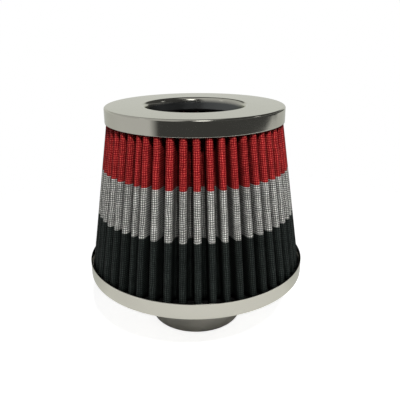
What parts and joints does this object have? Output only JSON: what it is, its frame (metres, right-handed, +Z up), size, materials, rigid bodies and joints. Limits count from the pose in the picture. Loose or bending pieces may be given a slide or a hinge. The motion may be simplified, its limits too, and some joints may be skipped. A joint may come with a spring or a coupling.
{
  "type": "cone air filter",
  "caption": "Open-mouthed cone air filter: striped pleated gauze between a polished cap with a rolled mouth and a polished base ring, on a grey rubber neck.",
  "frame": {"origin": "centre of the neck's open end, on the face that the filter stands on", "axes": "+Z up the filter's axis, from the neck to the cap; -Y is the front of the picture"},
  "size_m": [0.15, 0.15, 0.154],
  "materials": {
    "polished_aluminium": "polished",
    "cup_aluminium": "plain",
    "outer_gauze": "open weave, red above, grey in the middle and black below",
    "inner_gauze": "open weave",
    "grey_rubber": "matte",
    "potting": "matte"
  },
  "bodies": {
    "root": {"top_cap": "polished_aluminium", "top_seal": "potting", "outer_pleats": "outer_gauze", "inner_pleats": "inner_gauze", "inner_cone_cup": "cup_aluminium", "base_ring": "polished_aluminium", "base_neck": "grey_rubber"}
  },
  "joints": []
}
